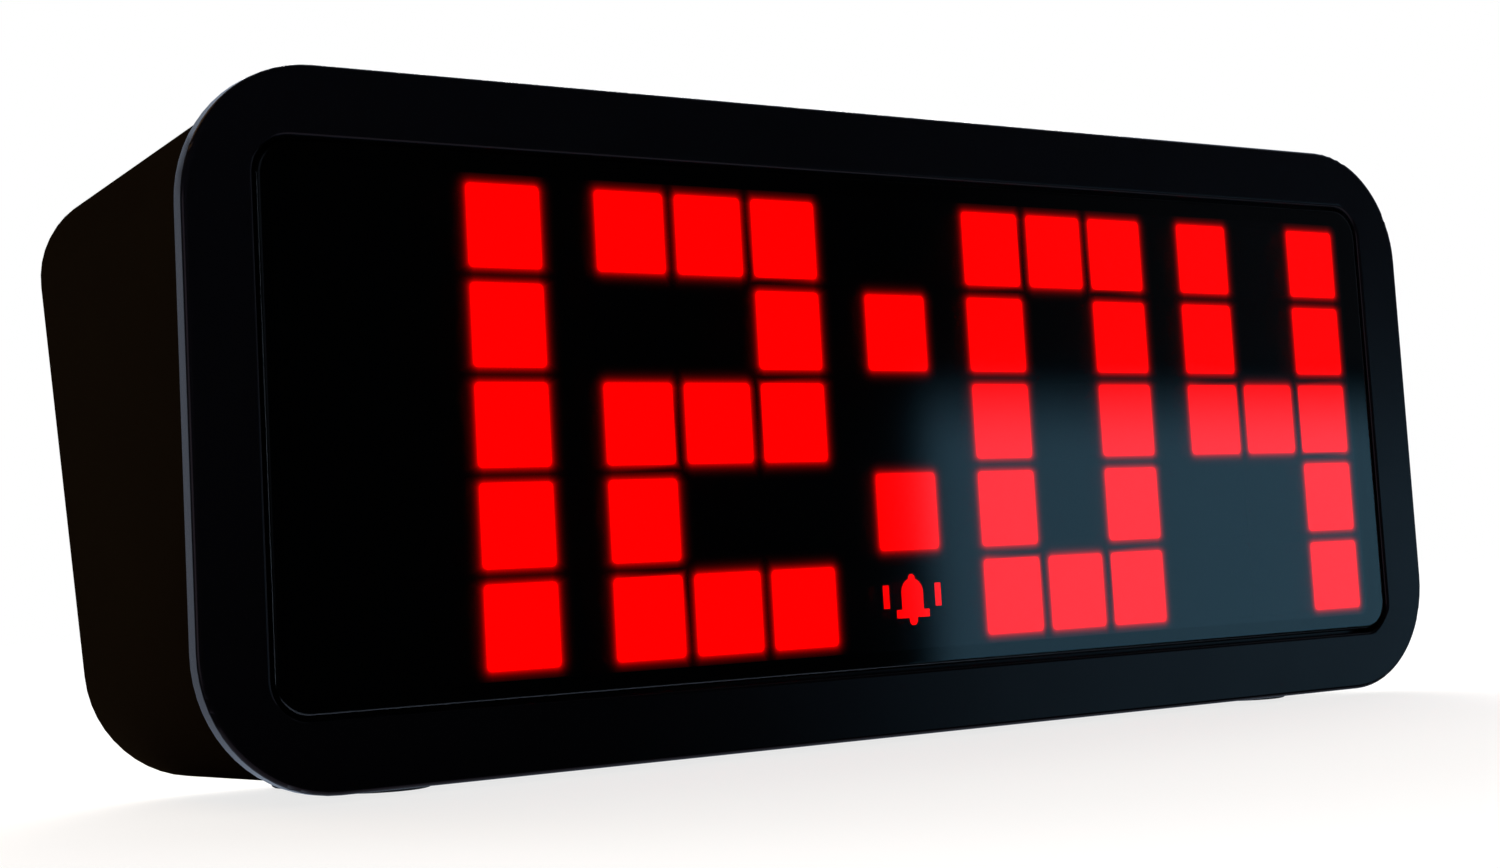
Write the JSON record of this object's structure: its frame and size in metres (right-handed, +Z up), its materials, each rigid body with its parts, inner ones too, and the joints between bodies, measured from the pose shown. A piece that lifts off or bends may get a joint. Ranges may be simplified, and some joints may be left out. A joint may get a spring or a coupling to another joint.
{
  "type": "digital alarm clock",
  "caption": "Bedside digital alarm clock with a wide red block-digit display in a rounded black frame, snooze bar on top, rear buttons, alarm slide and battery door.",
  "frame": {"origin": "middle of the footprint, on the plane that the rubber feet rest on", "axes": "+X to the right seen from the front, along the display; +Y to the back; +Z up; the display faces -Y"},
  "size_m": [0.16, 0.0434, 0.0654],
  "materials": {
    "satin_black": "satin",
    "tinted_window": "polished",
    "mask_black": "matte",
    "lit_resin": "lit",
    "dark_resin": "satin",
    "board_green": "solder mask",
    "led_white": "moulded",
    "chip_black": "moulded",
    "bright_metal": "tinned",
    "capacitor_blue": "sleeve",
    "textured_black": "fine texture",
    "key_grey": "satin",
    "pin_brass": "plated",
    "cell_sleeve": "printed film",
    "cable_grey": "smooth",
    "lead_red": "smooth",
    "lead_black": "smooth",
    "foot_rubber": "matte",
    "screw_steel": "zinc"
  },
  "bodies": {
    "case": {"front_bezel": "satin_black", "display_lens": "tinted_window", "light_mask": "mask_black", "lit_cells": "lit_resin", "unlit_cells": "dark_resin", "bell_cell": "lit_resin", "display_board": "board_green", "display_leds": "led_white", "control_chip": "chip_black", "timing_crystal": "bright_metal", "board_capacitors": "capacitor_blue", "rear_shell": "textured_black", "snooze_board": "board_green", "snooze_switch": "chip_black", "key_board": "board_green", "key_switches": "chip_black", "alarm_switch": "bright_metal", "power_inlet": "chip_black", "inlet_pin": "pin_brass", "sounder": "chip_black", "backup_cells": "cell_sleeve", "contact_plates": "bright_metal", "contact_springs": "bright_metal", "ribbon_cable": "cable_grey", "cable_plugs": "led_white", "sounder_leads": "lead_red", "battery_leads": "lead_black", "rubber_feet": "foot_rubber", "case_screws": "screw_steel", "board_screws": "screw_steel"},
    "snooze": {"snooze_bar": "key_grey"},
    "time_key": {"time_button": "key_grey"},
    "alarm_key": {"alarm_button": "key_grey"},
    "hour_key": {"hour_button": "key_grey"},
    "minute_key": {"minute_button": "key_grey"},
    "slider": {"alarm_slide": "key_grey"},
    "door": {"battery_door": "textured_black"}
  },
  "joints": [
    {"name": "snooze_press", "type": "slide", "parent": "case", "child": "snooze", "axis": [0, -0.0968, -0.9953], "range_m": [0, 0.0012], "stiffness_N_per_m": 1500},
    {"name": "time_press", "type": "slide", "parent": "case", "child": "time_key", "axis": [0, -0.9767, 0.2147], "range_m": [0, 0.0009], "stiffness_N_per_m": 1500},
    {"name": "alarm_press", "type": "slide", "parent": "case", "child": "alarm_key", "axis": [0, -0.9767, 0.2147], "range_m": [0, 0.0009], "stiffness_N_per_m": 1500},
    {"name": "hour_press", "type": "slide", "parent": "case", "child": "hour_key", "axis": [0, -0.9767, 0.2147], "range_m": [0, 0.0009], "stiffness_N_per_m": 1500},
    {"name": "minute_press", "type": "slide", "parent": "case", "child": "minute_key", "axis": [0, -0.9767, 0.2147], "range_m": [0, 0.0009], "stiffness_N_per_m": 1500},
    {"name": "alarm_slide_travel", "type": "slide", "parent": "case", "child": "slider", "axis": [-1, 0, 0], "range_m": [0, 0.004]},
    {"name": "door_hinge", "type": "hinge", "parent": "case", "child": "door", "pos_m": [0, 0.01402, 0.02983], "axis": [1, 0, 0], "range_deg": [0, 95]}
  ]
}
